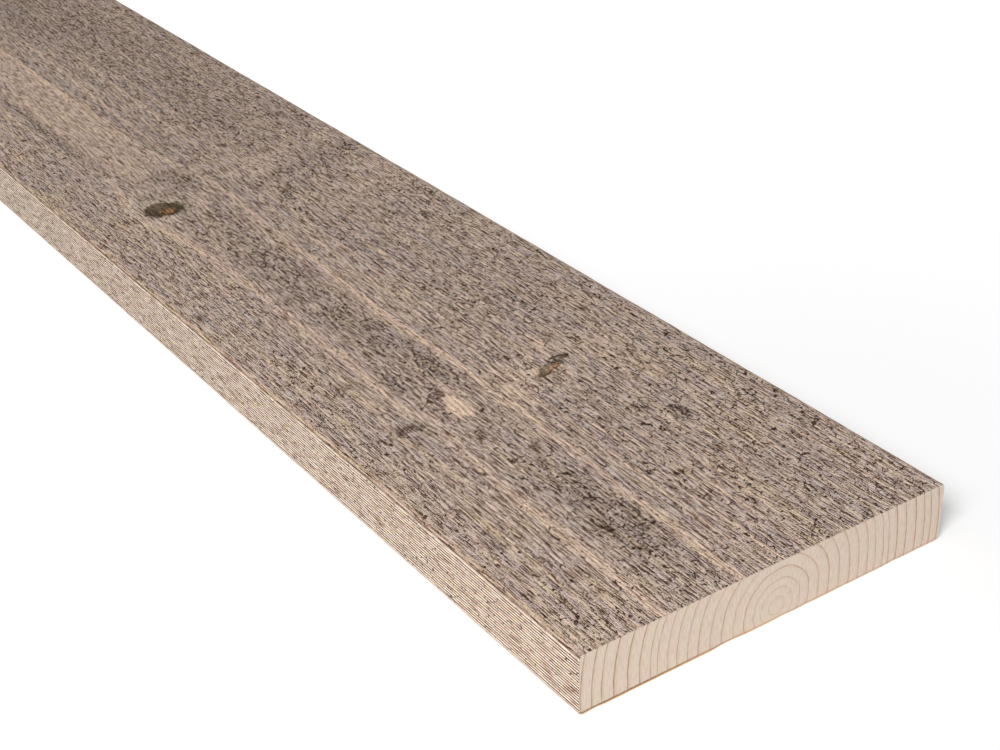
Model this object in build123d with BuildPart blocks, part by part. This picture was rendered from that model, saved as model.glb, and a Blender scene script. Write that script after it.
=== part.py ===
from build123d import *
import os

# Cladding board: fine-sawn softwood with ribbed edges, one piece of stock.
# Row frame: +X along the board, +Y across its width, +Z out of the weather face.
# The origin is the centre of the back face, on which the board lies.

# Driving dimensions, in millimetres
board_length = 1800.0
board_width = 148.0
board_thickness = 22.0

# Radius of the eased long arrises, on the weather face and on the back
face_arris = 1.6
back_arris = 1.2

# Ribs of the planed edges: grooves from a toothed cutter that run along the board.
# The pitch is from groove to groove, the mouth is a groove's width at the surface,
# and the margin is the plain strip between an arris and the first groove.
rib_pitch = 1.02
rib_mouth = 0.72
rib_depth = 0.30
rib_margin = 0.30

# Flat height of an edge between its two arrises, and the middle of that height
edge_flat = board_thickness - face_arris - back_arris
edge_middle = back_arris + edge_flat / 2

# As many grooves as the flat height takes, with a margin above and below
rib_count = int((edge_flat - 2 * rib_margin - rib_mouth) / rib_pitch) + 1

os.makedirs("parts", exist_ok=True)

with BuildPart() as board:
    # The section stands at one sawn end. Its own X is the board's width and its own Y
    # is the thickness, with the back on zero.
    with BuildSketch(Plane.YZ.offset(-board_length / 2)) as section:
        with Locations((0, board_thickness / 2)):
            Rectangle(board_width, board_thickness)
        fillet(section.vertices().group_by(Axis.Y)[-1], radius=face_arris)
        fillet(section.vertices().group_by(Axis.Y)[0], radius=back_arris)

        # A rhombus centred on the edge line cuts the same V groove into either edge
        with Locations((0, edge_middle)):
            with GridLocations(board_width, rib_pitch, 2, rib_count):
                Polygon(
                    (rib_depth, 0),
                    (0, rib_mouth / 2),
                    (-rib_depth, 0),
                    (0, -rib_mouth / 2),
                    mode=Mode.SUBTRACT,
                )

    # Sawn off square at both ends
    extrude(amount=board_length)

board.part.label = "board"
export_step(board.part, "parts/board.step")
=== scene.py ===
# %% [markdown]
# # A fine-sawn cladding board
#
# The object is one softwood board. Its weather face was roughened by a cutter with toothed knives, its two
# long edges carry straight fine ribs from such a cutter, and its ends were sawn off square. A thin
# grey-brown stain covers all but the ends.
#
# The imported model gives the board's exact size. This lesson puts a finished surface round it: one closed
# skin that is worked out with numpy, and two finishes made of shader nodes, one for the stained wood and
# one for the bare end.

import math

import bpy
import numpy as np
from mathutils import Matrix, Vector
from mathutils.geometry import delaunay_2d_cdt


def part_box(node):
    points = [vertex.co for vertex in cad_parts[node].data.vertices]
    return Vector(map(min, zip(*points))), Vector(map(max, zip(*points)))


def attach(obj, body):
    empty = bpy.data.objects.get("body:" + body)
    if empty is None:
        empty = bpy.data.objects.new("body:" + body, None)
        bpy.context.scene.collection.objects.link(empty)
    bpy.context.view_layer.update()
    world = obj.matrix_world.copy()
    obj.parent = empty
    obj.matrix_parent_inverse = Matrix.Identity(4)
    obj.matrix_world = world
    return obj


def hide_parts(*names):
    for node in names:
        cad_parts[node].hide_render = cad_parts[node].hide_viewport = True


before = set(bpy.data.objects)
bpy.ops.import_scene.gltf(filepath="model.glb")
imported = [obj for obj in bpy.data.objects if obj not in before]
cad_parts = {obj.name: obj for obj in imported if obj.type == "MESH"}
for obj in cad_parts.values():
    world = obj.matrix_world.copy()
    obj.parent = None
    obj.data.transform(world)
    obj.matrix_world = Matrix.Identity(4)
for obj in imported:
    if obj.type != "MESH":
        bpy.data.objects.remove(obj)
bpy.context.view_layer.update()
low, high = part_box("board")
print("board from", tuple(round(v, 4) for v in low), "to", tuple(round(v, 4) for v in high))

# %% [markdown]
# ## Working sizes
#
# Wood is measured in millimetres, so all patterns are thought of in millimetres. A point of the board gets
# three numbers: `back`, how far it lies from the sawn end nearest the camera, `across`, how far from the
# left edge, and `up`, how high above the back. One function turns them into Blender's metres.

# %% Sizes in millimetres
MM = 0.001
length = (high.x - low.x) / MM
width = (high.y - low.y) / MM
thickness = (high.z - low.z) / MM


def in_metres(back, across, up):
    """A point in metres: the near end is at the highest X and the left edge at the lowest Y."""
    return np.stack([high.x - back * MM, low.y + across * MM, low.z + up * MM], axis=-1)


print(f"{length:.0f} x {width:.0f} x {thickness:.0f} mm")

# %% [markdown]
# ## Where the ribs are
#
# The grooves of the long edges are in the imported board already, so the skin takes their heights from there.
# On the left edge the deepest points are the groove bottoms. Reading them keeps skin and solid in step.

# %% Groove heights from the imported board
corners = np.array([v.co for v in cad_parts["board"].data.vertices]) / MM
edge_depth = corners[:, 1] - low.y / MM
edge_height = corners[:, 2] - low.z / MM
clear_of_arris = (edge_height > 2.0) & (edge_height < thickness - 2.0)
rib_depth = edge_depth[(edge_depth < 1.0) & clear_of_arris].max()
at_bottom = (np.abs(edge_depth - rib_depth) < 0.01) & (edge_height > 1.4) & (edge_height < thickness - 1.8)
groove_heights = np.unique(np.round(edge_height[at_bottom], 2))
rib_pitch = np.diff(groove_heights).max()
groove_heights = groove_heights[np.append(np.diff(groove_heights) > 0.5 * rib_pitch, True)]
print(f"{len(groove_heights)} grooves, {rib_pitch:.2f} mm apart and {rib_depth:.2f} mm deep")

# %% [markdown]
# ## Smooth random hills
#
# Wood is never quite regular. `wander` gives a gentle random height for every point of a sheet: random
# numbers stand on a lattice, and between them the height is blended with the curve 3t² - 2t³. The lattice
# may be long one way and narrow the other, as grain is. Each use has a seed of its own, so every run gives
# the same board.


# %% Random hills
def wander(u, v, cell_u, cell_v, seed):
    """Heights from -1 to 1 on a lattice of cells cell_u by cell_v, blended between the lattice points."""
    table = np.random.default_rng(seed).uniform(-1, 1, (257, 257))
    u, v = np.broadcast_arrays(np.asarray(u, float) / cell_u + 31.7, np.asarray(v, float) / cell_v + 17.3)
    column, row = np.floor(u).astype(int), np.floor(v).astype(int)
    part_u, part_v = u - column, v - row
    part_u, part_v = part_u**2 * (3 - 2 * part_u), part_v**2 * (3 - 2 * part_v)
    column, row = column % 256, row % 256
    near = table[column, row] * (1 - part_v) + table[column, row + 1] * part_v
    far = table[column + 1, row] * (1 - part_v) + table[column + 1, row + 1] * part_v
    return near * (1 - part_u) + far * part_u


def rise(value, start, end):
    """0 before start, 1 after end, and the curve 3t² - 2t³ between them."""
    part = np.clip((value - start) / (end - start), 0, 1)
    return part**2 * (3 - 2 * part)


print("hills at three places:", np.round(wander([0, 5, 10], 0, 7, 7, seed=1), 2))

# %% [markdown]
# ## The toothed cutter
#
# A round cutter head with four toothed knives roughened the face. Each tooth swings through the wood on a
# wide circle and scoops out a long shallow groove. The board moves 17 mm on for each turn of the head, and
# each knife's teeth stand a quarter of a pitch beside the last knife's. So the scoops lie in slanting
# chains, and no knife cuts quite as deep as the next. The same rule is used twice: for the shape here and
# for the colour later.

# %% The cutter's marks
tooth_pitch = 2.1
feed = 17.0
flank_slope = 0.45
cutter_radius = 65.0
knife_lifts = [0.0, 0.10, 0.02, 0.16]
knives = len(knife_lifts)
deepest_mark = 0.42


def cutter_height(back, across):
    """The lowest of the knives' paths.

    Each path is the flank slope times the distance to the tooth, plus the swing x² / 2R, plus the lift.
    """
    heights = []
    for number, lift in enumerate(knife_lifts):
        share = number / knives
        aside = np.abs((across - share * tooth_pitch) % tooth_pitch - tooth_pitch / 2)
        along = np.abs((back - share * feed) % feed - feed / 2)
        heights.append(flank_slope * aside + along**2 / (2 * cutter_radius) + lift)
    return np.min(heights, axis=0)


sample_marks = cutter_height(*np.meshgrid(np.arange(0, feed, 0.25), np.arange(0, tooth_pitch, 0.05)))
print(f"marks are up to {np.ptp(sample_marks):.2f} mm deep")

# %% [markdown]
# ## The section as a profile
#
# A board is a profile carried along a path. The profile runs once round the section: along the back, up the
# right edge, over the face and down the left edge. Each groove gets its bottom, its two shoulders and the
# crest beside it. On the face the points stand as close as the knives' rows of teeth. The arrises are
# quarter circles.

# %% The profile round the section
face_arris = 1.6
back_arris = 1.2
rib_mouth = 0.72
face_points = round((width - 2 * face_arris) / (tooth_pitch / knives)) + 1
back_points = 31
arris_points = 5


def arc(centre_across, centre_up, radius, start, end):
    """Points of a quarter circle between two angles in degrees."""
    turn = np.radians(np.linspace(start, end, arris_points))
    return centre_across + radius * np.cos(turn), centre_up + radius * np.sin(turn)


def rib_heights():
    """Heights of one edge's points from low to high, and 1 for each that is a groove's bottom."""
    steps = np.array([-rib_mouth / 2, 0.0, rib_mouth / 2, rib_pitch / 2])
    heights = (groove_heights[:, None] + steps).ravel()[:-1]
    bottoms = np.tile([0.0, 1.0, 0.0, 0.0], len(groove_heights))[:-1]
    return heights, bottoms


def section_profile():
    """The section's points in order, their outward directions, and each one's groove share and kind."""
    heights, bottoms = rib_heights()
    on_back = np.linspace(back_arris, width - back_arris, back_points)[1:-1]
    on_face = np.linspace(width - face_arris, face_arris, face_points)[1:-1]
    top, bottom = thickness - face_arris, back_arris
    pieces = [
        ("back", on_back, np.zeros(len(on_back))),
        ("arris", *arc(width - back_arris, bottom, back_arris, -90, 0)),
        ("edge", np.full(len(heights), width), heights),
        ("arris", *arc(width - face_arris, top, face_arris, 0, 90)),
        ("face", on_face, np.full(len(on_face), thickness)),
        ("arris", *arc(face_arris, top, face_arris, 90, 180)),
        ("edge", np.zeros(len(heights)), heights[::-1]),
        ("arris", *arc(back_arris, bottom, back_arris, 180, 270)),
    ]
    across = np.concatenate([p[1] for p in pieces])
    up = np.concatenate([p[2] for p in pieces])
    kinds = np.concatenate([np.full(len(p[1]), p[0]) for p in pieces])
    groove = np.zeros(len(across))
    groove[np.isin(up, heights[bottoms > 0]) & (kinds == "edge")] = 1.0
    rib_on_arris = top + face_arris * math.sin(math.radians(90 / (arris_points - 1)))
    groove[np.isclose(up, rib_on_arris) & (kinds == "arris")] = 0.6
    core = np.stack([np.clip(across, face_arris, width - face_arris), np.clip(up, bottom, top)], axis=1)
    outward = np.stack([across, up], axis=1) - core
    outward /= np.linalg.norm(outward, axis=1)[:, None]
    return across, up, outward, groove, kinds


across, up, outward, groove, kinds = section_profile()
is_face, is_edge, is_arris = (1.0 * (kinds == kind) for kind in ("face", "edge", "arris"))
print(len(across), "points round the section,", int(groove.sum()), "at groove bottoms")

# %% [markdown]
# ## Stations along the board
#
# The profile is set down at many stations. They stand close together near the sawn end, where the eye comes
# nearest, closest of all at a group of small knots, and further apart towards the far end. That keeps the
# whole board under 200,000 triangles.

# %% Stations, as distances from the near end
small_knots = (126.0, 147.0)
close_until = 340.0
middle_until = 650.0
stations = np.concatenate(
    [
        [0.0, 0.3, 0.8],
        np.arange(2.0, small_knots[0], 3.1),
        np.arange(*small_knots, 1.0),
        np.arange(small_knots[1], close_until, 3.3),
        np.arange(close_until, middle_until, 7.6),
        np.linspace(middle_until, length - 1.0, 30),
        [length],
    ]
)
print(len(stations), "stations")

# %% [markdown]
# ## Knots
#
# A knot is the foot of a branch. The grain flows round it like water round a stone. Branches grow in
# whorls, one for each year's growth of the tree's top, so knots come in groups about 215 mm apart. The
# first groups lie where this board has them, and the later ones are guessed by the same habit. The back
# gets smaller ones a little further on, and under its plain finish they only bend the grain.
#
# Each knot is one row: its distance from the near end, its distance from the left edge, half its length,
# half its width, how far it is turned, how dark it is and how orange.

# %% The knots of the face
face_knots = [
    (349.5, 39.4, 8.0, 9.2, 8, 1.0, 0.55),
    (137.2, 91.8, 2.5, 7.2, -18, 0.62, 1.0),
    (140.7, 100.4, 1.2, 2.4, -18, 0.95, 0.0),
    (133.6, 86.4, 1.1, 3.4, -8, 0.95, 0.0),
    (142.3, 97.6, 0.5, 3.0, 0, 0.9, 0.0),
    (144.6, 46.8, 2.8, 3.6, 0, 0.52, 0.5),
    (130.8, 25.8, 1.9, 4.6, -24, 0.46, 0.5),
    (129.0, 31.0, 1.0, 2.0, -24, 0.6, 0.0),
]
first_guessed_whorl = 775.0
whorl_step = 215.0
knot_maker = np.random.default_rng(41)
for whorl in np.arange(first_guessed_whorl, length - 30.0, whorl_step):
    for place in knot_maker.choice([22.0, 48.0, 70.0, 98.0, 124.0], 2, replace=False):
        size = knot_maker.uniform(3.0, 7.5)
        nudge, shift = knot_maker.uniform(-14, 14), knot_maker.uniform(-6, 6)
        stretch, turn = knot_maker.uniform(0.9, 1.6), knot_maker.uniform(-30, 30)
        dark, warm = knot_maker.uniform(0.4, 0.95), knot_maker.uniform(0.2, 0.9)
        face_knots.append((whorl + nudge, place + shift, size, size * stretch, turn, dark, warm))
further_on, back_size = 9.0, 0.8
back_knots = [
    (back + further_on, width - place, back_size * a, back_size * b, -turn, dark, warm)
    for back, place, a, b, turn, dark, warm in face_knots
]
print(len(face_knots), "knots on the face")


# %% How knots bend the grain
far_from_knots = 9.0


def knot_fields(back, across, knots):
    """How far the grain is pushed aside, the way to the nearest knot, and its dark and warm share.

    The push is 0.62 times the distance aside times e to the power -(a² + b²), where a and b are the distances
    along and aside in units of the knot's reach. The way is counted in the knot's radii.
    """
    push = np.zeros_like(back)
    way = np.full(back.shape + (2,), far_from_knots)
    colours = np.zeros(back.shape + (2,))
    for place, from_left, half_length, half_width, turn, dark, warm in knots:
        along, aside = back - place, across - from_left
        c, s = math.cos(math.radians(turn)), math.sin(math.radians(turn))
        turned_along, turned_aside = along * c + aside * s, aside * c - along * s
        new_way = np.stack([turned_along / half_length, turned_aside / half_width], axis=-1)
        reach = np.exp(-((along / (2.6 * half_length + 5)) ** 2) - (aside / (2.2 * half_width + 3)) ** 2)
        push -= 0.62 * aside * reach
        closer = (np.linalg.norm(new_way, axis=-1) < np.linalg.norm(way, axis=-1))[..., None]
        way = np.where(closer, new_way, way)
        colours = np.where(closer, (dark, warm), colours)
    return push, way, colours


print("each knot has", len(face_knots[0]), "numbers")

# %% [markdown]
# ## Growth rings
#
# The end shows the rings as circles round the pith. Their radii were chosen from the end of the real board.
# The ring number of a point is a whole number on each ring's outer line and rises evenly between two lines.

# %% Ring number of any point of the wood
pith_across = 76.1
pith_up = 5.0
ring_radii = [0, 3.4, 6.7, 9.7, 13.6, 17.8, 22.4, 26.9, 31.5, 35.5, 39.6, 43.0, 46.8, 49.1, 53.1, 57.3]
ring_radii += [62.0, 66.1, 69.2, 73.0, 77.5]


def ring_number(back, across, up):
    """The distance from the pith, which drifts a little along the log, read off against the ring radii."""
    settled = 1 - np.exp(-back / 120)
    from_pith = across - pith_across - 2.0 * settled * wander(back, 0, 260, 1, seed=5)
    above_pith = 0.95 * (up - pith_up - 2.2 * settled * wander(back, 3, 310, 1, seed=6))
    distance = np.hypot(from_pith, above_pith)
    distance *= 1 + 0.033 * np.sign(from_pith) * (from_pith / 73) ** 2
    distance += 0.3 * wander(np.degrees(np.arctan2(above_pith, from_pith)), distance, 14, 30, seed=7)
    return np.interp(distance, ring_radii, np.arange(len(ring_radii)))


# how strongly each ring's line shows, from the pith outwards: a tree's first years have little late wood
ring_strengths = [0.2, 0.3, 0.35, 0.5, 0.75, 0.5, 0.8, 0.55, 0.8, 0.6, 0.75, 0.6, 0.8, 0.75, 1.0, 0.9]
ring_strengths += [1.0, 0.9, 1.0, 1.0, 0.9]
print("ring at the left edge:", round(float(ring_number(0.0, 0.0, 11.0)), 1))

# %% [markdown]
# ## Late wood on the face
#
# Where the face cuts through a ring, its dense late wood shows as a long pale streak: it cuts cleanly and
# takes little stain. A streak starts softly on one side and stops sharply on the other, at the ring's outer
# line. The streaks move together as they pass the knots.

# %% Pale streaks
# each streak's place at the near end and its soft reach to the left and to the right, in mm, and its strength
streaks = [
    (1.0, 0.8, 1.0, 0.35),
    (6.6, 1.0, 1.8, 0.5),
    (15.4, 0.9, 1.2, 0.35),
    (21.3, 0.8, 2.4, 0.5),
    (29.6, 0.8, 6.5, 0.85),
    (63.0, 4.0, 0.9, 1.0),
    (72.0, 1.3, 1.0, 0.65),
    (78.6, 1.8, 0.8, 0.55),
    (83.2, 1.0, 0.9, 0.3),
    (88.8, 2.4, 0.7, 0.55),
    (94.8, 1.3, 0.8, 0.6),
    (103.0, 1.2, 0.8, 0.42),
    (106.6, 1.3, 0.8, 0.36),
    (113.4, 1.0, 1.0, 0.3),
    (119.5, 1.3, 0.8, 0.35),
    (123.8, 1.4, 0.8, 0.45),
    (128.6, 1.0, 0.8, 0.35),
    (132.4, 1.8, 0.8, 0.6),
    (139.4, 1.2, 0.8, 0.45),
    (144.5, 1.0, 0.8, 0.35),
]
# distances from the near end, and how far the streaks have moved to the right there
drift_stops = [0, 20, 60, 100, 140, 180, 220, 260, 300, 345, 380, 420, 460, 700, 1000, 1400, 1800]
drift_left = [0, 0.2, 1.0, 1.8, 2.4, 3.3, 3.6, 3.0, 2.6, 1.0, 2.0, 4.0, 5.0, 3.0, 6.0, 1.0, 4.0]
drift_right = [-0.8, -0.4, 0.4, 1.8, 4.0, 3.0, 3.1, 4.3, 5.4, 4.6, 5.0, -0.4, -1.6, -3.0, 2.0, -2.0, 1.0]


def streak_share(back, across):
    """The strongest streak at each point: 1 at its line, falling by 3t² - 2t³ to 0 at its reach."""
    to_right = rise(across, 40, 60)
    drift = (1 - to_right) * np.interp(back, drift_stops, drift_left)
    drift = drift + to_right * np.interp(back, drift_stops, drift_right)
    place = across - drift + 0.3 * wander(back, across, 30, 8, seed=8)
    share = np.zeros_like(back)
    for middle, left_reach, right_reach, strength in streaks:
        side = rise(place, middle - left_reach, middle) * rise(-place, -middle - right_reach, -middle)
        share = np.maximum(share, strength * side * (0.75 + 0.25 * wander(back, middle, 55, 1, seed=18)))
    return share


print("streaks:", len(streaks))

# %% [markdown]
# ## Pale and dark places
#
# Some places are smoother and paler than the rest, such as the wedge beside a knot or a wide sheet of late
# wood, and others are torn and darker, and their darkening is painted shade. The long one over the right part
# of the face further from the near end is painted shade where the light falls off. Each row is the middle of
# such a place, half its length and half its width, how many millimetres it leans to the right for each
# millimetre along, and how pale it is, or how dark when below 0. Places that are only a millimetre wide are
# thin lines of late wood.

# %% Places
places = [
    (133.8, 48.8, 8.2, 4.2, 0.1, 0.86),
    (145.0, 52.2, 10.0, 2.4, 0.1, 0.6),
    (136.5, 86.8, 4.2, 4.4, 0.0, 0.75),
    (153.0, 97.0, 9.0, 3.4, 0.3, 0.5),
    (142.0, 114.0, 9.0, 13.0, 0.0, 0.25),
    (134.0, 74.0, 14.0, 7.0, 0.2, 0.35),
    (351.0, 57.0, 8.0, 3.6, 0.4, 0.55),
    (351.0, 27.0, 11.0, 2.4, 0.1, 0.4),
    (372.0, 99.0, 10.0, 11.0, 0.5, 0.45),
    (384.0, 128.0, 9.0, 24.0, 2.2, 0.3),
    (371.0, 77.0, 5.0, 12.0, 0.0, 0.3),
    (327.0, 132.0, 22.0, 18.0, 0.6, 0.25),
    (446.0, 49.0, 78.0, 11.5, -0.02, 0.36),
    (590.0, 50.0, 120.0, 10.0, 0.0, 0.42),
    (486.0, 39.0, 52.0, 1.0, 0.057, 0.8),
    (515.0, 59.0, 75.0, 1.1, 0.027, 0.75),
    (513.0, 72.0, 106.0, 1.1, 0.038, 0.75),
    (500.0, 86.5, 100.0, 1.0, 0.04, 0.65),
    (560.0, 96.5, 150.0, 0.9, 0.02, 0.55),
    (620.0, 104.0, 190.0, 0.8, 0.012, 0.5),
    (570.0, 110.5, 150.0, 0.9, 0.01, 0.5),
    (640.0, 117.5, 200.0, 0.9, 0.01, 0.55),
    (590.0, 124.5, 160.0, 0.9, 0.0, 0.5),
    (650.0, 131.5, 210.0, 0.9, 0.0, 0.55),
    (600.0, 139.0, 150.0, 0.9, 0.0, 0.45),
    (540.0, 27.0, 110.0, 0.9, 0.0, 0.55),
    (560.0, 18.5, 130.0, 0.9, 0.0, 0.5),
    (520.0, 10.0, 100.0, 0.9, 0.0, 0.45),
    (900.0, 92.0, 190.0, 9.0, 0.02, 0.5),
    (1340.0, 50.0, 220.0, 10.0, 0.02, 0.5),
    (50.0, 50.0, 34.0, 9.0, 0.0, -0.2),
    (44.6, 45.2, 3.0, 1.8, 0.0, -0.9),
    (38.5, 58.6, 2.6, 1.5, 0.3, -0.8),
    (60.0, 51.0, 2.6, 2.0, 0.0, -0.7),
    (85.0, 109.0, 6.0, 3.0, 0.1, -0.4),
    (277.0, 128.0, 2.6, 2.4, 0.0, -0.6),
    (162.0, 58.0, 20.0, 6.0, 0.0, -0.25),
    (162.0, 38.5, 12.0, 3.2, 0.0, -0.25),
    (240.0, 52.0, 90.0, 9.0, 0.0, -0.12),
    (357.0, 122.0, 10.0, 20.0, 1.2, -0.15),
    (338.0, 93.0, 11.0, 5.0, 0.3, -0.2),
    (377.0, 57.0, 14.0, 8.0, -0.4, -0.3),
    (430.0, 72.0, 60.0, 8.0, 0.0, -0.12),
    (470.0, 34.5, 80.0, 3.0, 0.0, -0.35),
    # painted shade: a long soft dark place over the right part of the face, where light falls off
    (1000.0, 112.0, 560.0, 36.0, 0.0, -0.24),
]


def place_share(back, across, sign):
    """How pale (sign 1) or dark (sign -1) a point is, from ovals whose rims the curve 3t² - 2t³ softens."""
    share = np.zeros_like(back)
    rough = 0.22 * wander(back, across, 7, 2.2, seed=9)
    for middle, from_left, half_length, half_width, lean, strength in places:
        if strength * sign > 0:
            along = back - middle
            oval = np.hypot(along / half_length, (across - from_left - lean * along) / half_width)
            soft = 0.14 + 0.3 * (1 - abs(strength))
            share = np.maximum(share, abs(strength) * rise(-oval + rough, -1 - soft, -1 + soft))
    return share


def torn_share(back, across):
    """How many pits were torn out, from 0 to 1: most left of the middle and at the right."""
    near_part = rise(-back, -400.0, -340.0)
    band = 0.62 * near_part * rise(across, 36, 42) * rise(-across, -62, -58)
    right = 0.55 * rise(across, 64, 84)
    left = 0.3 * rise(-across, -34, -28)
    share = np.maximum(np.maximum(band, right), np.maximum(left, 0.2))
    return np.clip(share + 0.2 * wander(back, across, 40, 9, seed=19), 0, 1)


print("places:", len(places))

# %% [markdown]
# ## Carrying the profile
#
# Every station gets the profile, pushed in a little where the tools took wood away. The push is always
# inwards, so the skin never leaves the board's real size. The face gets the cutter's marks, the grooves
# vary in depth because teeth wear, and the arrises are worn unevenly.

# %% The skin's points
back_grid, across_grid = np.meshgrid(stations, across, indexing="ij")
up_grid = np.broadcast_to(up, back_grid.shape)
is_rear = up < 0.5 * thickness
face_push, face_way, face_colours = knot_fields(back_grid, across_grid, face_knots)
rear_push, rear_way, rear_colours = knot_fields(back_grid, across_grid, back_knots)
push = np.where(is_rear, rear_push, face_push) * (1 - is_edge)
knot_way = np.where(is_rear[:, None], rear_way, face_way)
knot_way = np.where(is_edge[:, None] > 0, far_from_knots, knot_way)
knot_dark, knot_warm = np.moveaxis(np.where(is_rear[:, None], rear_colours, face_colours), -1, 0)
settled = 1 - np.exp(-back_grid / 60)
grain_across = across_grid + push + 1.2 * settled * wander(back_grid, across_grid, 130, 30, seed=10)
streak = streak_share(back_grid, across_grid + push) * is_face
pale = place_share(back_grid, across_grid, 1) * is_face
shade = place_share(back_grid, across_grid, -1) * is_face
torn = torn_share(back_grid, grain_across) * is_face
torn = np.clip(torn + 0.9 * shade, 0, 1) * (1 - 0.85 * np.maximum(pale, 0.8 * streak))

# how much of the cutter's marks is shape, and how deep torn wood, worn crests and worn arrises go
marks_kept, torn_depth, crest_wear = 0.8, 0.10, 0.05
arris_wear_least, arris_wear_more = 0.1, 0.16
marks = cutter_height(back_grid, across_grid)
marks_show = rise(-back_grid, -middle_until, -middle_until + 60)
mean_mark = sample_marks.mean()
face_cut = is_face * (deepest_mark - marks_kept * (mean_mark + (marks - mean_mark) * marks_show))
face_cut += is_face * torn_depth * torn * (0.5 + 0.5 * wander(back_grid, across_grid, 9, 2.4, seed=11))
groove_cut = rib_depth * groove * (0.85 + 0.15 * wander(back_grid, up_grid, 35, 0.7, seed=12))
edge_cut = is_edge * (1 - groove) * crest_wear * (0.5 + 0.5 * wander(back_grid, up_grid, 9, 1.1, seed=13))
arris_swing = 0.5 + 0.5 * wander(back_grid, across_grid, 11, 40, seed=14)
arris_cut = is_arris * (arris_wear_least + arris_wear_more * arris_swing)
cut = np.maximum(face_cut, 0) + groove_cut + edge_cut + arris_cut
skin_across = across_grid - outward[:, 0] * cut
skin_up = up_grid - outward[:, 1] * cut
skin_back = np.repeat(stations[:, None], len(across), axis=1)
print("face cut from", round(float(face_cut.min()), 2), "to", round(float(face_cut.max()), 2), "mm")

# %% [markdown]
# ## Splinters under the sawn end
#
# A saw that comes out of the wood at the bottom tears small chips from the lower arris. Here the first
# station's points are moved back by up to 0.9 mm and up by up to 0.5 mm, mostly near the left corner.

# %% Chips at the lower arris of the near end
low_rim = rise(-skin_up[0], -1.6, -0.4)
chip_places = rise(wander(skin_across[0], 0, 1.7, 1, seed=15), 0.05, 0.6)
chip_left = 0.3 + 0.7 * rise(-skin_across[0], -44.0, -36.0) * rise(skin_across[0], 6.0, 12.0)
chips = low_rim * chip_places * chip_left
chip_back, chip_up = 0.9, 0.5
skin_back[0] += chip_back * chips
skin_up[0] += chip_up * chips
skin_back[1] = np.maximum(skin_back[1], skin_back[0] + 0.1)
skin_back[2] = np.maximum(skin_back[2], skin_back[1] + 0.1)
skin = in_metres(skin_back, skin_across, skin_up)
print("chipped points:", int((chips > 0.2).sum()))

# %% [markdown]
# ## Closing the ends
#
# Each end is a flat cut. Its outline is a station's ring of points, and a net of inner points lets the
# growth rings be drawn on it. Delaunay triangulation joins outline and net without slivers.


# %% An end's net
def end_net(ring, spacing=1.6):
    """Inner points of a net inside the outline ring, and triangles that count the ring's corners first."""
    lowest, highest = ring.min(0) + 1.2, ring.max(0) - 1.2
    columns = np.linspace(lowest[0], highest[0], int((highest[0] - lowest[0]) / spacing))
    rows = np.linspace(lowest[1], highest[1], int((highest[1] - lowest[1]) / spacing))
    inner = np.stack(np.meshgrid(columns, rows, indexing="ij"), axis=-1).reshape(-1, 2)
    outline = [list(range(len(ring)))]
    corners = [Vector(p) for p in np.concatenate([ring, inner])]
    _, _, faces, origins, _, _ = delaunay_2d_cdt(corners, [], outline, 1, 1e-7)
    number = [o[0] for o in origins]
    return inner, np.array([[number[i] for i in face] for face in faces])


near_inner, near_faces = end_net(np.stack([skin_across[0], skin_up[0]], axis=1))
far_inner, far_faces = end_net(np.stack([skin_across[-1], skin_up[-1]], axis=1))
print("end nets:", len(near_faces), "and", len(far_faces), "triangles")

# %% [markdown]
# ## One closed mesh
#
# The sides are a grid of quads between neighbouring stations, which closes on itself round the section. The
# two nets close the ends. All corners are given so that faces point outwards.

# %% Points and faces of the whole board
stations_count, round_count = skin_back.shape
saw_marks = 0.03 + 0.03 * wander(near_inner[:, 0], near_inner[:, 1], 3, 3, seed=16)
near_points = in_metres(saw_marks, near_inner[:, 0], near_inner[:, 1])
far_points = in_metres(np.full(len(far_inner), length - 0.03), far_inner[:, 0], far_inner[:, 1])
points = np.concatenate([skin.reshape(-1, 3), near_points, far_points])
step, spot = np.meshgrid(np.arange(stations_count - 1), np.arange(round_count), indexing="ij")
following = (spot + 1) % round_count
here, there = step * round_count, (step + 1) * round_count
sides = np.stack([here + spot, there + spot, there + following, here + following], axis=-1).reshape(-1, 4)
ring_total = stations_count * round_count
near_faces = np.where(near_faces < round_count, near_faces, near_faces - round_count + ring_total)
far_start = ring_total + len(near_inner) - round_count
far_shift = (stations_count - 1) * round_count
far_faces = np.where(far_faces < round_count, far_faces + far_shift, far_faces + far_start)[:, ::-1]
mesh = bpy.data.meshes.new("cladding_board")
mesh.from_pydata(points, [], sides.tolist() + near_faces.tolist() + far_faces.tolist())
is_end = np.arange(len(mesh.polygons)) >= len(sides)
mesh.polygons.foreach_set("use_smooth", ~is_end)
mesh.polygons.foreach_set("material_index", is_end.astype(np.int32))
board = bpy.data.objects.new("cladding_board", mesh)
bpy.context.scene.collection.objects.link(board)
triangles = 2 * len(sides) + len(near_faces) + len(far_faces)
print(len(points), "points,", triangles, "triangles")

# %% [markdown]
# ## Telling the shader about the wood
#
# Each point carries what the shader needs to know of the wood there: where it lies on the board and in the
# grain, its ring number, how pale or torn it is, and how near a knot is. Such values are called attributes,
# and the shader reads them by name.

# %% Attributes
ends_back = np.concatenate([saw_marks, np.full(len(far_inner), length)])
ends_across = np.concatenate([near_inner[:, 0], far_inner[:, 0]])
ends_up = np.concatenate([near_inner[:, 1], far_inner[:, 1]])


def on_all_points(values, at_ends):
    """Values of the sides' points, followed by those of the inner points of both ends."""
    sides_part = np.broadcast_to(values, back_grid.shape).ravel()
    return np.concatenate([sides_part, at_ends * np.ones(len(ends_across))]).astype(np.float32)


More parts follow.
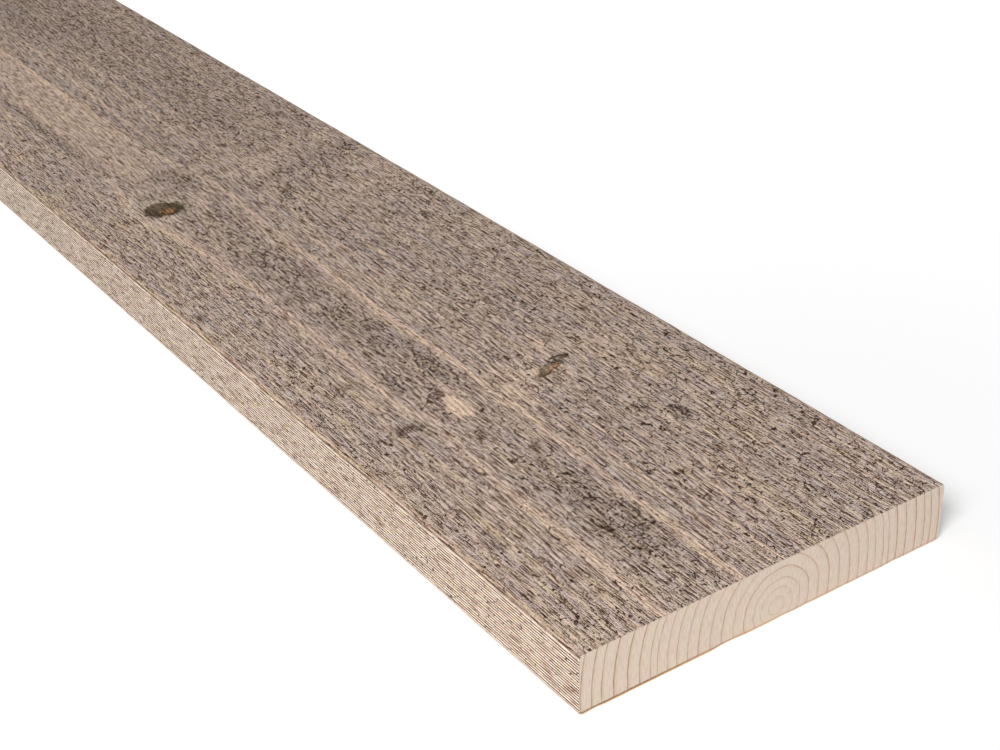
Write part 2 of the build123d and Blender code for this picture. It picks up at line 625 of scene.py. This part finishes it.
# a third number keeps the way long halfway between two knots, where the first two change sign
beyond_knot = np.clip(np.linalg.norm(knot_way, axis=-1) - 2.0, 0, 6)
vectors = {
    "place": ((back_grid, ends_back), (across_grid, ends_across), (up_grid, ends_up)),
    "grain": ((back_grid, ends_back), (grain_across, ends_across), (up_grid, ends_up)),
    "knot": ((knot_way[..., 0], far_from_knots), (knot_way[..., 1], far_from_knots), (beyond_knot, 6)),
}
for name, columns in vectors.items():
    stacked = np.stack([on_all_points(*pair) for pair in columns], axis=1).ravel()
    mesh.attributes.new(name, "FLOAT_VECTOR", "POINT").data.foreach_set("vector", stacked)

side_rings = ring_number(back_grid, grain_across, up_grid)
end_rings = ring_number(ends_back, ends_across, ends_up)
ring_numbers = np.arange(len(ring_strengths))
late_wood = [np.interp(rings, ring_numbers, ring_strengths) for rings in (side_rings, end_rings)]
wood_values = {
    "rings": (side_rings, end_rings),
    "late_wood": late_wood,
    "streak": (streak, 0),
    "pale": (pale, 0),
    "shade": (shade, 0),
    "torn": (torn, 0),
    "knot_dark": (knot_dark, 0),
    "knot_warm": (knot_warm, 0),
    "sawn": (is_face, 0),
    "groove": (groove, 0),
    "arris": (is_arris, 0),
}
for name, (on_sides, on_ends) in wood_values.items():
    mesh.attributes.new(name, "FLOAT", "POINT").data.foreach_set("value", on_all_points(on_sides, on_ends))
print("attributes:", ", ".join(wood_values))

# %% [markdown]
# ## A map for the bake
#
# An exported model carries its finish as a picture, wrapped by a UV map. A long board would waste most of a
# square picture, so the skin is unrolled and cut into two strips that lie one above the other. The face
# gets the most room, the plain back the least, and the two ends lie in a row at the top.

# %% Unrolled strips
strip_ends = np.array([0.0, 700.0, length])
margin = 0.006
share_of_height = {"back": 0.05, "edge": 0.05, "face": 0.31}
real_heights = {"back": width, "edge": thickness, "face": width}


def strip_heights():
    """How far up a strip each profile point lies: lengths round the section, stretched as each side asks."""
    run = np.hypot(np.diff(across, append=across[0]), np.diff(up, append=up[0]))
    sides_of = np.where(up > thickness - 0.01, "face", np.where(up < 0.01, "back", "edge"))
    scale = np.array([share_of_height[side] / real_heights[side] for side in sides_of])
    return np.concatenate([[0.0], np.cumsum(run * scale)])


heights = strip_heights()
strip_tall = heights[-1] + margin
strip_of = (np.searchsorted(strip_ends, stations[:-1], side="right") - 1)[step]
first, last = strip_ends[strip_of][..., None], strip_ends[strip_of + 1][..., None]
station_corners = np.stack([stations[step], stations[step + 1], stations[step + 1], stations[step]], axis=-1)
height_corners = np.stack([heights[spot], heights[spot], heights[spot + 1], heights[spot + 1]], axis=-1)
along_strip = np.clip((station_corners - first) / (last - first), 0, 1.005)
side_across = margin + (1 - 2 * margin) * along_strip
side_up = margin + strip_of[..., None] * strip_tall + height_corners
side_uv = np.stack([side_across, side_up], axis=-1).reshape(-1, 2)
end_scale = share_of_height["face"] / width
net_corners = np.concatenate([near_faces.ravel(), far_faces.ravel()])
net_across = (points[net_corners, 1] - low.y) / MM * end_scale
net_up = (points[net_corners, 2] - low.z) / MM * end_scale
is_far = np.arange(len(net_corners)) >= near_faces.size
net_across += margin + is_far * (width * end_scale + margin)
net_uv = np.stack([net_across, margin + 2 * strip_tall + net_up], axis=1)
all_uv = np.concatenate([side_uv, net_uv]).astype(np.float32)
mesh.uv_layers.new(name="OFBake").data.foreach_set("uv", all_uv.ravel())
print("map spans", all_uv.min(0), "to", all_uv.max(0))

# %% [markdown]
# ## Two small helpers for finishes
#
# Colours are written as the hex values that a picture shows, so they have to be turned into the linear
# values that light is added up in. And every finish is a tree of nodes, so one function adds a node, sets
# it up and links it. Its inputs come in the node's own order or by name, and each is a value, a hex colour
# or another node's output.


# %% Colour and node helpers
def colour(hex_code):
    """A hex colour made linear: each part c becomes ((c + 0.055) / 1.055) to the power 2.4."""
    parts = [int(hex_code[i : i + 2], 16) / 255 for i in (1, 3, 5)]
    return [c / 12.92 if c <= 0.04045 else ((c + 0.055) / 1.055) ** 2.4 for c in parts] + [1.0]


def add(tree, kind, inputs=(), output=0, stops=(), **settings):
    """Adds a node, sets its properties, fills or links its inputs, and gives back one of its outputs."""
    made = tree.nodes.new("ShaderNode" + kind)
    for name, value in settings.items():
        setattr(made, name, value)
    for place, value in inputs.items() if isinstance(inputs, dict) else enumerate(inputs):
        if isinstance(value, bpy.types.NodeSocket):
            tree.links.new(value, made.inputs[place])
        else:
            made.inputs[place].default_value = colour(value) if isinstance(value, str) else value
    if stops:
        ramp = made.color_ramp
        while len(ramp.elements) < len(stops):
            ramp.elements.new(1.0)
        for element, (place, value) in zip(ramp.elements, stops):
            element.position = place
            element.color = colour(value) if isinstance(value, str) else [value, value, value, 1.0]
    return made.outputs[output] if len(made.outputs) else made


def new_finish(name):
    """An empty material with its node tree."""
    material = bpy.data.materials.new(name)
    material.use_nodes = True
    material.node_tree.nodes.clear()
    return material, material.node_tree


# the settings of a node that lays one colour over another, and of one that multiplies two colours
mix = {"output": 2, "data_type": "RGBA"}
multiply = {**mix, "blend_type": "MULTIPLY"}
print("mid grey is", [round(v, 3) for v in colour("#808080")[:3]])

# %% [markdown]
# ## Stained fine-sawn spruce
#
# The real finish is a thin grey-brown outdoor stain on rough spruce. The stain lies dark in the cutter's
# marks and torn pits and wears pale on the crests, and it lets the rings and knots show through. The tree
# first works out a relief between 0, deep, and 1, on a crest. The relief then darkens the wood's tone, as
# stain and painted shade in the deep places, and drives the bump.

# %% What the wood tells
stained, wood = new_finish("stained_fine_sawn_spruce")
told_names = ("sawn", "groove", "arris", "streak", "pale", "shade", "torn", "knot_dark", "knot_warm")
told = {name: add(wood, "Attribute", attribute_name=name, output=2) for name in told_names}
ways = {name: add(wood, "Attribute", attribute_name=name, output=1) for name in vectors}
place, grain, knot_way = ways["place"], ways["grain"], ways["knot"]
print("the finish reads", len(told) + len(ways), "attributes")

# %% [markdown]
# The cutter's marks again, by the same rule as the shape. Ping-pong makes a zigzag: the distance to the
# nearest tooth row one way, and to the middle of the nearest scoop the other way.

# %% The cutter's marks in nodes
place_axes = add(wood, "SeparateXYZ", (place,)).node.outputs
marks_height = None
for number, lift in enumerate(knife_lifts):
    share = number / knives
    beside = add(wood, "Math", (place_axes["Y"], (0.5 - share) * tooth_pitch), operation="ADD")
    beside = add(wood, "Math", (beside, tooth_pitch / 2), operation="PINGPONG")
    ahead = add(wood, "Math", (place_axes["X"], (0.5 - share) * feed), operation="ADD")
    ahead = add(wood, "Math", (ahead, feed / 2), operation="PINGPONG")
    swing = add(wood, "Math", (ahead, 2.0), operation="POWER")
    swing = add(wood, "Math", (swing, 1 / (2 * cutter_radius), lift), operation="MULTIPLY_ADD")
    path = add(wood, "Math", (beside, flank_slope, swing), operation="MULTIPLY_ADD")
    marks_height = add(wood, "Math", (marks_height or path, path), operation="MINIMUM")
print("knives:", knives)

# %% [markdown]
# Torn fibres are noise stretched along the board: a place is divided by a fibre's real length and width, so
# that one unit of noise is one fibre. The finest would be thinner than a pixel, so they are drawn a third
# of a millimetre wide or more.

# %% Fibres and patches
fibre_kinds = {
    "dash": (place, (3.0, 0.42, 0.42), 1.0),
    "fluff": (place, (0.62, 0.34, 0.34), 1.0),
    "thread": (place, (9.0, 0.4, 0.4), 1.0),
    "line": (place, (11.0, 1.15, 1.15), 0.0),
    "lump": (grain, (9.0, 2.4, 2.4), 1.0),
    "patch": (grain, (38.0, 9.0, 9.0), 2.0),
    "tint": (grain, (24.0, 1.5, 1.5), 1.0),
    "tear": (place, (2.6, 2.3, 2.3), 0.5),
    "snap": (place, (2.1, 1.9, 1.9), 0.5),
    "pit": (place, (1.5, 1.15, 1.15), 0.0),
    "crowd": (grain, (11.0, 5.0, 5.0), 1.0),
}
noises = {}
for name, (vector, size, detail) in fibre_kinds.items():
    scaled = add(wood, "VectorMath", (vector, size), operation="DIVIDE")
    noises[name] = add(wood, "TexNoise", {"Vector": scaled, "Scale": 1.0, "Detail": detail})
print("fibre kinds:", ", ".join(noises))

# %% [markdown]
# The relief adds them up, with fine dark lines that run where a long noise passes through its middle value.
# Each part has a weight, and the value it swings about is taken away first: 0.5 for a noise. Pale streaks
# and places are smoother, so the relief swings less there.

# %% Relief
from_line = add(wood, "Math", (noises["line"], 0.5), operation="SUBTRACT")
from_line = add(wood, "Math", (from_line,), operation="ABSOLUTE")
beside_line = add(wood, "MapRange", (from_line, 0.0, 0.1, 0.0, 1.0))
relief_parts = [
    (noises["dash"], 0.5, 2.0),
    (noises["fluff"], 0.5, 2.6),
    (noises["thread"], 0.5, 3.7),
    (beside_line, 0.65, 0.36),
    (noises["lump"], 0.5, 0.08),
    (marks_height, mean_mark, 0.85),
]
swing = None
for part, middle, weight in relief_parts:
    centred = add(wood, "Math", (part, middle), operation="SUBTRACT")
    swing = add(wood, "Math", (centred, weight, swing or 0.0), operation="MULTIPLY_ADD")
smooth_part = add(wood, "Math", (told["pale"], told["streak"]), operation="MAXIMUM")
calm = add(wood, "Math", (smooth_part, -0.5, 1.0), operation="MULTIPLY_ADD")
lift = add(wood, "Math", (smooth_part, 0.16, 0.655), operation="MULTIPLY_ADD")
brightest = add(wood, "Math", (told["pale"], 4.0), operation="POWER")
lift = add(wood, "Math", (brightest, 0.08, lift), operation="MULTIPLY_ADD")
relief = add(wood, "Math", (swing, calm, lift), operation="MULTIPLY_ADD")
print("relief adds", len(relief_parts), "parts")

# %% [markdown]
# Where a bundle of fibres was torn out, it left a short curved crack whose bottom is painted dark, as stain
# and painted shade. Such curves are where a noise passes through its middle value, as a contour line does on
# a map. A second noise snaps them into short pieces. They crowd together where the wood is torn, so there the
# second noise lets more of them through. Small round pits are the peaks of a third noise, and they are
# painted just as dark.

# %% Torn cracks
crowding = add(wood, "Math", (noises["crowd"], told["torn"]), operation="MULTIPLY")
crack_start = add(wood, "MapRange", (crowding, 0.03, 0.5, 0.68, 0.49))
from_contour = add(wood, "Math", (noises["tear"], 0.5), operation="SUBTRACT")
from_contour = add(wood, "Math", (from_contour,), operation="ABSOLUTE")
on_contour = add(wood, "MapRange", (from_contour, 0.06, 0.02, 0.0, 1.0), interpolation_type="SMOOTHSTEP")
over = add(wood, "Math", (noises["snap"], crack_start), operation="SUBTRACT")
let_through = add(wood, "MapRange", (over, 0.0, 0.05, 0.0, 1.0), interpolation_type="SMOOTHSTEP")
cracks = add(wood, "Math", (on_contour, let_through), operation="MULTIPLY")
pit_start = add(wood, "Math", (told["torn"], 0.1, noises["pit"]), operation="MULTIPLY_ADD")
pit_start = add(wood, "Math", (told["shade"], 0.2, pit_start), operation="MULTIPLY_ADD")
pits = add(wood, "MapRange", (pit_start, 0.75, 0.80, 0.0, 1.0), interpolation_type="SMOOTHSTEP")
cracks = add(wood, "Math", (cracks, pits), operation="MAXIMUM")
cracks = add(wood, "Math", (cracks, told["sawn"]), operation="MULTIPLY")
print("cracks are about", fibre_kinds["snap"][1][0], "mm long")

# %% [markdown]
# The tone is the colour of a crest in full light: grey-beige wood, with pinkish and yellowish pale streaks,
# bluish patches, painted shade over the torn places and the far right part of the face, and the knots. A knot
# is end grain of the branch: olive-brown wood, often with an orange spot, and a dark rim where the bark was.
# Faint knots are redder and broken into specks. The distance to a knot is the length of the way to it, in
# knot radii, made a little ragged.

# %% Tones of the face
tint_swing = add(wood, "MapRange", (noises["tint"], 0.42, 0.62, 0.0, 1.0))
pale_tone = add(wood, "Mix", {0: tint_swing, 6: "#efd3bf", 7: "#efd6bc"}, **mix)
bluish = add(wood, "MapRange", (noises["patch"], 0.46, 0.66, 0.0, 0.3))
ragged = add(wood, "Math", (noises["snap"], 0.6, -0.3), operation="MULTIPLY_ADD")
knot_away = {}
for name, middle in {"rim": (0.0, 0.0, 0.0), "spot": (-0.38, 0.08, 0.0)}.items():
    way = add(wood, "VectorMath", (knot_way, middle), operation="SUBTRACT")
    away = add(wood, "VectorMath", (way,), output=1, operation="LENGTH")
    knot_away[name] = add(wood, "Math", (ragged, away), operation="ADD")
knot_tone = add(
    wood,
    "ValToRGB",
    {"Fac": knot_away["rim"]},
    stops=[(0.0, "#7a6851"), (0.55, "#6a5942"), (0.8, "#5c4a36"), (0.95, "#463626")],
)
along_knot = add(wood, "SeparateXYZ", (knot_way,))
far_side = add(wood, "MapRange", (along_knot, -0.2, 0.7, 0.0, 0.6))
knot_tone = add(wood, "Mix", {0: far_side, 6: knot_tone, 7: "#8d7a63"}, **mix)
reddish = add(wood, "MapRange", (told["knot_dark"], 0.5, 0.62, 0.85, 0.0))
knot_tone = add(wood, "Mix", {0: reddish, 6: knot_tone, 7: "#70493b"}, **mix)
spot_reach = add(wood, "Math", (told["knot_warm"], 0.55, 0.01), operation="MULTIPLY_ADD")
spot = add(wood, "MapRange", (knot_away["spot"], spot_reach, 0.0, 0.0, 2.2))
spot = add(wood, "Math", (spot, 1.0), operation="MINIMUM")
knot_tone = add(wood, "Mix", {0: spot, 6: knot_tone, 7: "#c79560"}, **mix)
inside = add(wood, "MapRange", (knot_away["rim"], 1.12, 0.84, 0.0, 1.0))
specks = add(wood, "MapRange", (noises["fluff"], 0.42, 0.6, 1.0, 0.1))
solid = add(wood, "MapRange", (told["knot_dark"], 0.4, 0.75, 0.15, 1.0))
filled = add(wood, "Math", (specks, solid), operation="MAXIMUM")
from_bark = add(wood, "Math", (knot_away["rim"], 0.8), operation="SUBTRACT")
from_bark = add(wood, "Math", (from_bark,), operation="ABSOLUTE")
bark_ring = add(wood, "MapRange", (from_bark, 0.26, 0.1, 0.0, 0.85))
filled = add(wood, "Math", (filled, bark_ring), operation="MAXIMUM")
inside = add(wood, "Math", (inside, filled), operation="MULTIPLY")
collar = add(wood, "MapRange", (knot_away["rim"], 2.1, 1.3, 0.0, 0.4), interpolation_type="SMOOTHSTEP")
collar = add(wood, "Math", (collar, told["knot_dark"]), operation="MULTIPLY")
plain_tone = add(
    wood,
    "ValToRGB",
    {"Fac": noises["tint"]},
    stops=[(0.36, "#d0beb5"), (0.47, "#d6c2b4"), (0.56, "#dac5b3"), (0.7, "#dfcbb0")],
)
tone = add(wood, "Mix", {0: bluish, 6: plain_tone, 7: "#c0b2b0"}, **mix)
tone_layers = [
    (told["streak"], pale_tone),
    (told["pale"], pale_tone),
    (collar, "#d9ccb8"),
    # painted shade: darkens the torn places and the far right part of the face
    (told["shade"], "#85766c"),
    (inside, knot_tone),
]
for amount, layer in tone_layers:
    tone = add(wood, "Mix", {0: amount, 6: tone, 7: layer}, **mix)
print("tone layers:", len(tone_layers))

# %% [markdown]
# Stain and shadow make the deep places brown-black, so the tone is multiplied by a colour that runs with
# the relief.

# %% Colour of the face
depth_stops = [(0.0, "#523d2f"), (0.25, "#8c7b6f"), (0.5, "#c0b6af"), (0.75, "#e2dcd8"), (1.0, "#ffffff")]
depth_colour = add(wood, "ValToRGB", (relief,), stops=depth_stops)
face_colour = add(wood, "Mix", {0: 1.0, 6: tone, 7: depth_colour}, **multiply)
# stain and painted shade: cracks and pits are painted dark brown
face_colour = add(wood, "Mix", {0: cracks, 6: face_colour, 7: "#38230f"}, **mix)
print("the deepest relief turns white into", depth_stops[0][1])

# %% [markdown]
# The planed edges and the back take the stain more evenly, so they are paler. Stain collects in the grooves,
# and painted shade darkens their bottoms further, and a few dark specks are left where fibres were plucked
# out. In places the ribs are worn and their grooves hold less stain and painted shade. All arrises are
# darkened a little by painted shade that dims the light they catch, and the lower ones are darker still.

# %% Colour of the planed sides
planed_kinds = {
    "along": ((7.0, 1.2, 0.5), 2.0),
    "wear": ((9.0, 8.0, 1.3), 1.0),
    "speck": ((1.7, 1.0, 0.6), 1.0),
    "rub": ((5.0, 1.2, 1.2), 2.0),
    "stain": ((3.8, 2.0, 1.2), 1.0),
}
for name, (size, detail) in planed_kinds.items():
    scaled = add(wood, "VectorMath", (place, size), operation="DIVIDE")
    noises[name] = add(wood, "TexNoise", {"Vector": scaled, "Scale": 1.0, "Detail": detail})
planed_tints = add(
    wood,
    "ValToRGB",
    {"Fac": noises["stain"]},
    stops=[(0.36, "#ecd0c2"), (0.48, "#f9e6d6"), (0.56, "#ffeedc"), (0.7, "#f6e6bc")],
)
planed_shades = add(
    wood, "ValToRGB", {"Fac": noises["along"]}, stops=[(0.3, "#a5907d"), (0.41, "#e4dad1"), (0.49, "#ffffff")]
)
planed_colour = add(wood, "Mix", {0: 1.0, 6: planed_tints, 7: planed_shades}, **multiply)
worn_ribs = add(wood, "MapRange", (noises["wear"], 0.45, 0.7, 1.0, 0.7))
# stain and painted shade: the groove bottoms are painted near black
groove_stain_and_shade = add(wood, "MapRange", (told["groove"], 0.0, 0.52, 0.0, 1.0), interpolation_type="SMOOTHSTEP")
groove_stain_and_shade = add(wood, "Math", (groove_stain_and_shade, worn_ribs), operation="MULTIPLY")
speck = add(wood, "MapRange", (noises["speck"], 0.63, 0.67, 0.0, 0.9))
up_place = place_axes["Z"]
low_arris = add(wood, "MapRange", (up_place, 2.0, 0.5, 0.0, 0.6))
low_arris = add(wood, "Math", (low_arris, told["arris"]), operation="MULTIPLY")
# painted shade: every arris is darkened to dim the light it catches
arris_shade = add(wood, "Math", (told["arris"], 0.4), operation="MULTIPLY")
planed_layers = [
    (arris_shade, "#8f7b6b"),
    (groove_stain_and_shade, "#28180a"),
    (speck, "#3a2716"),
    (low_arris, "#7c604a"),
]
for amount, layer in planed_layers:
    planed_colour = add(wood, "Mix", {0: amount, 6: planed_colour, 7: layer}, **mix)
print("planed sides have", len(planed_kinds), "noises")

# %% [markdown]
# The arris between face and edge has been rubbed. It shows the face's fibres in a darker, warmer tone, part
# of which is painted shade that dims the light the arris catches, and its border is ragged. The relief drives
# a bump, and the dried stain is matt.

# %% The stained surface
all_colour = add(wood, "Mix", {0: told["sawn"], 6: planed_colour, 7: face_colour}, **mix)
rubbed_and_shaded = add(wood, "MapRange", (noises["rub"], 0.36, 0.6, 0.0, 1.0))
high_arris = add(wood, "MapRange", (up_place, thickness - 0.9, thickness - 0.3, 0.0, 1.0))
rubbed_and_shaded = add(wood, "Math", (rubbed_and_shaded, 0.5, high_arris), operation="MULTIPLY_ADD", use_clamp=True)
rubbed_and_shaded = add(wood, "Math", (rubbed_and_shaded, told["arris"]), operation="MULTIPLY")
# partly painted shade: the arris tone is darker so the arris catches less light
arris_tone = add(wood, "Mix", {0: tint_swing, 6: "#c6ad9d", 7: "#c9b49a"}, **mix)
arris_colour = add(wood, "Mix", {0: 1.0, 6: arris_tone, 7: depth_colour}, **multiply)
all_colour = add(wood, "Mix", {0: rubbed_and_shaded, 6: all_colour, 7: arris_colour}, **mix)
torn_height = add(wood, "Math", (cracks, -1.2, relief), operation="MULTIPLY_ADD")
face_height = add(wood, "Math", (torn_height, told["sawn"]), operation="MULTIPLY")
all_height = add(wood, "Math", (noises["along"], 0.3, face_height), operation="MULTIPLY_ADD")
bump = add(wood, "Bump", {"Strength": 0.9, "Distance": 0.22 * MM, "Height": all_height})
matt = add(wood, "MapRange", (relief, 0.0, 1.0, 0.94, 0.74))
surface = add(
    wood,
    "BsdfPrincipled",
    {"Base Color": all_colour, "Roughness": matt, "IOR": 1.5, "Normal": bump, "Specular IOR Level": 0.2},
)
add(wood, "OutputMaterial", {"Surface": surface})
mesh.materials.append(stained)
print("stained finish has", len(wood.nodes), "nodes")

# %% [markdown]
# ## Bare crosscut spruce
#
# The end was cut after staining, so it is bare: creamy early wood with thin orange-brown lines of late
# wood. Each line is sharp towards the bark and fades towards the pith, because the tree slows down through
# the summer and stops in autumn. Fine saw marks cross it.

# %% Rings on the end
bare, cut_end = new_finish("bare_crosscut_spruce")
end_place = add(cut_end, "Attribute", attribute_name="place", output=1)
told_rings = add(cut_end, "Attribute", attribute_name="rings", output=2)
end_part = add(cut_end, "Math", (told_rings,), operation="FRACT")
ring_line = add(
    cut_end,
    "ValToRGB",
    {"Fac": end_part},
    stops=[(0.0, 0.6), (0.02, 0.0), (0.6, 0.0), (0.87, 0.18), (0.94, 0.95), (1.0, 0.85)],
)
end_kinds = {
    "fuzz": (0.5, 0.5, 0.5),
    "blotch": (6.0, 6.0, 6.0),
    "saw": (0.5, 0.5, 3.0),
    "late": (0.8, 4.0, 4.0),
}
end_noises = {}
for name, size in end_kinds.items():
    scaled = add(cut_end, "VectorMath", (end_place, size), operation="DIVIDE")
    end_noises[name] = add(cut_end, "TexNoise", {"Vector": scaled, "Scale": 1.0, "Detail": 2.0})
faded = add(cut_end, "MapRange", (end_noises["late"], 0.35, 0.6, 0.65, 1.0))
line_share = add(cut_end, "Math", (ring_line, faded), operation="MULTIPLY")
ring_strength = add(cut_end, "Attribute", attribute_name="late_wood", output=2)
line_share = add(cut_end, "Math", (line_share, ring_strength), operation="MULTIPLY")
end_tone = add(
    cut_end,
    "ValToRGB",
    {"Fac": end_noises["blotch"]},
    stops=[(0.35, "#dac7ba"), (0.5, "#d9c8b9"), (0.65, "#d8cab8")],
)
sawn_shade = add(
    cut_end,
    "ValToRGB",
    {"Fac": end_noises["saw"]},
    stops=[(0.3, "#efebe8"), (0.5, "#fbf9f7"), (0.65, "#ffffff")],
)
end_tone = add(cut_end, "Mix", {0: 1.0, 6: end_tone, 7: sawn_shade}, **multiply)
end_colour = add(cut_end, "Mix", {0: line_share, 6: end_tone, 7: "#a67d58"}, **mix)
print("rings drawn on the end:", len(ring_radii) - 1)

# %% [markdown]
# A thin dark line runs along the bottom of the end, mostly at its left. Under it the torn fibres of the arris
# are bare and orange, and they too fade to the right. A fainter line runs along the top.

# %% The end's rim and surface
end_axes = add(cut_end, "SeparateXYZ", (end_place,)).node.outputs
creep = add(cut_end, "Math", (end_noises["fuzz"], 0.8, -0.4), operation="MULTIPLY_ADD")
end_up = add(cut_end, "Math", (end_axes["Z"], creep), operation="ADD")
# each line's colour, its range of heights and its range across, each with the shares at both of its limits
rims = [
    ("#8a7566", (thickness - 0.5, thickness, 0.0, 0.5), (0.0, width, 1.0, 0.8)),
    ("#6b574a", (1.1, 0.8, 0.0, 0.9), (28.0, 70.0, 1.0, 0.15)),
    ("#dba35f", (0.5, 0.35, 0.0, 1.0), (60.0, width, 1.0, 0.45)),
]
for rim_colour, by_height, by_place in rims:
    height_share = add(cut_end, "MapRange", (end_up, *by_height))
    place_part = add(cut_end, "MapRange", (end_axes["Y"], *by_place))
    rim_share = add(cut_end, "Math", (height_share, place_part), operation="MULTIPLY")
    end_colour = add(cut_end, "Mix", {0: rim_share, 6: end_colour, 7: rim_colour}, **mix)
end_bump = add(cut_end, "Bump", {"Strength": 0.35, "Distance": 0.12 * MM, "Height": end_noises["fuzz"]})
end_surface = add(
    cut_end,
    "BsdfPrincipled",
    {"Base Color": end_colour, "Roughness": 0.85, "IOR": 1.5, "Normal": end_bump, "Specular IOR Level": 0.3},
)
add(cut_end, "OutputMaterial", {"Surface": end_surface})
mesh.materials.append(bare)
print("bare finish has", len(cut_end.nodes), "nodes")

# %% [markdown]
# ## Handing the skin to the frame
#
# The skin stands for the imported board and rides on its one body.

# %% Riding and replacing
mesh.update()
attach(board, "root")
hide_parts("board")
print("the skin rides on root")

# %% [markdown]
# ## Floor, world, lamps and camera
#
# A white floor that really glowed would throw light back at the board. So only the camera, and rays that a
# mirror or glass would send, see the glow. It is weak round the sawn end, where the lamps make the floor
# white by themselves and the board's shadow has to show, and stronger further away.


# %% The floor
def seen_directly(tree):
    """1 for rays from the camera, from a mirror or through glass, and 0 for the rays that light things."""
    rays = add(tree, "LightPath").node.outputs
    mirrored = add(tree, "Math", (rays["Is Camera Ray"], rays["Is Glossy Ray"]), operation="MAXIMUM")
    return add(tree, "Math", {0: mirrored, 1: rays["Is Transmission Ray"]}, operation="MAXIMUM")


floor_half = 6.0
glow_near, glow_far = 0.15, 0.62
floor_glow = 1.3
floor_mesh = bpy.data.meshes.new("floor")
square = np.array([(-1, -1), (1, -1), (1, 1), (-1, 1)]) * floor_half
floor_mesh.from_pydata([(x, y, low.z - 0.0002) for x, y in square], [], [(0, 1, 2, 3)])
floor = bpy.data.objects.new("floor", floor_mesh)
bpy.context.scene.collection.objects.link(floor)
pale_floor, ground = new_finish("pale_floor")
matte_floor = add(ground, "BsdfDiffuse", {"Color": "#fafafa"})
glow = add(ground, "Emission", {"Color": "#ffffff", "Strength": floor_glow})
floor_place = add(ground, "TexCoord", output=3)
from_end = add(ground, "VectorMath", (floor_place, (high.x, 0.0, low.z)), operation="SUBTRACT")
from_end = add(ground, "VectorMath", (from_end,), output=1, operation="LENGTH")
glow_here = add(ground, "MapRange", (from_end, 0.09, 0.45, glow_near, glow_far))
glow_share = add(ground, "Math", (seen_directly(ground), glow_here), operation="MULTIPLY")
floor_surface = add(ground, "MixShader", (glow_share, matte_floor, glow))
add(ground, "OutputMaterial", {"Surface": floor_surface})
floor_mesh.materials.append(pale_floor)
print("floor is", 2 * floor_half, "m wide")

# %% The world's light
world = bpy.data.worlds.new("studio")
bpy.context.scene.world = world
world.use_nodes = True
sky = world.node_tree
sky.nodes.clear()
sky_level = 0.36
strength = add(sky, "Math", (seen_directly(sky), 1 - sky_level, sky_level), operation="MULTIPLY_ADD")
backdrop = add(sky, "Background", {"Color": "#ffffff", "Strength": strength})
add(sky, "OutputWorld", {"Surface": backdrop})
print("world level", sky_level)

# %% [markdown]
# The key light is a wide soft sun from the left and the front, so that it rakes over the marks. A small
# lamp near the sawn end makes that end a little brighter than the far one, as a studio lamp does.

# %% Lamps
near_end = Vector((high.x, 0.0, high.z))
sun = bpy.data.objects.new("key_sun", bpy.data.lights.new("key_sun", "SUN"))
sun.data.energy = 1.12
sun.data.angle = math.radians(22)
sun.rotation_euler = Vector((-0.42, 0.68, -0.72)).to_track_quat("-Z", "Y").to_euler()
bpy.context.scene.collection.objects.link(sun)
lamp = bpy.data.objects.new("near_lamp", bpy.data.lights.new("near_lamp", "AREA"))
lamp.data.size = 0.4
lamp.data.energy = 8.0
lamp.location = near_end + Vector((0.35, -0.75, 0.75))
lamp.rotation_euler = (near_end - lamp.location).to_track_quat("-Z", "Y").to_euler()
bpy.context.scene.collection.objects.link(lamp)

# %% [markdown]
# The camera stands where the photographer stood, worked out from the board's outline in the picture. Its
# aim is the point of the face in the middle of the picture, and it was rolled by about one degree.

# %% The camera
camera_place = near_end + Vector((0.3018, -0.3065, 0.3083))
camera_aim = near_end + Vector((-0.1426, -0.0009, 0.0))
camera_roll = math.radians(-1.094)
camera = bpy.data.objects.new("camera", bpy.data.cameras.new("camera"))
camera.data.sensor_width = 36.0
camera.data.lens = 62.26
camera.location = camera_place
facing = (camera_aim - camera_place).to_track_quat("-Z", "Y").to_matrix()
camera.rotation_euler = (facing @ Matrix.Rotation(camera_roll, 3, "Z")).to_euler()
bpy.context.scene.collection.objects.link(camera)
bpy.context.scene.camera = camera
bpy.context.scene.view_settings.view_transform = "Standard"
print("camera at", tuple(round(v, 3) for v in camera.location))
